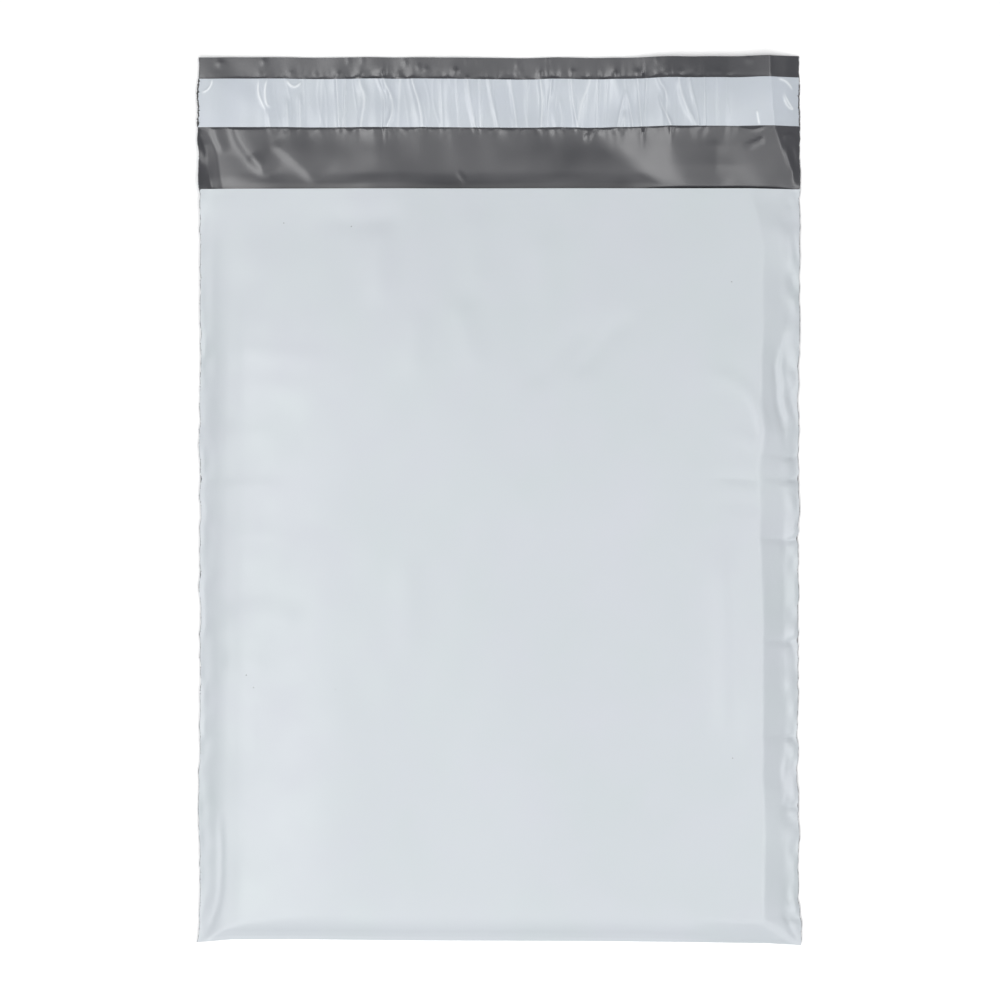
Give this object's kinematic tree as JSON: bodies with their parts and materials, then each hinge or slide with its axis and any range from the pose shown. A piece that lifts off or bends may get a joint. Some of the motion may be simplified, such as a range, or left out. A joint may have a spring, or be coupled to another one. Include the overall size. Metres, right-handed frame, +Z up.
{
  "type": "poly mailer bag",
  "caption": "Flat self-seal shipping bag of plastic film, white outside and grey inside, lying open with the release liner still on its lip.",
  "frame": {"origin": "on the surface that the bag lies on, under the middle of its outline", "axes": "+Z up out of the front panel, +Y from the bottom fold to the edge of the lip, +X across the bag to the right as the front panel is seen"},
  "size_m": [0.254, 0.374, 0.0075],
  "materials": {
    "pale_film": "satin polyethylene film, white outside, grey inside",
    "hot_melt": "clear straw-coloured pressure-sensitive hot melt",
    "liner_film": "glossy silicone-coated polyethylene film"
  },
  "bodies": {
    "root": {"bag_film": "pale_film", "adhesive_strip": "hot_melt", "release_liner": "liner_film"}
  },
  "joints": []
}
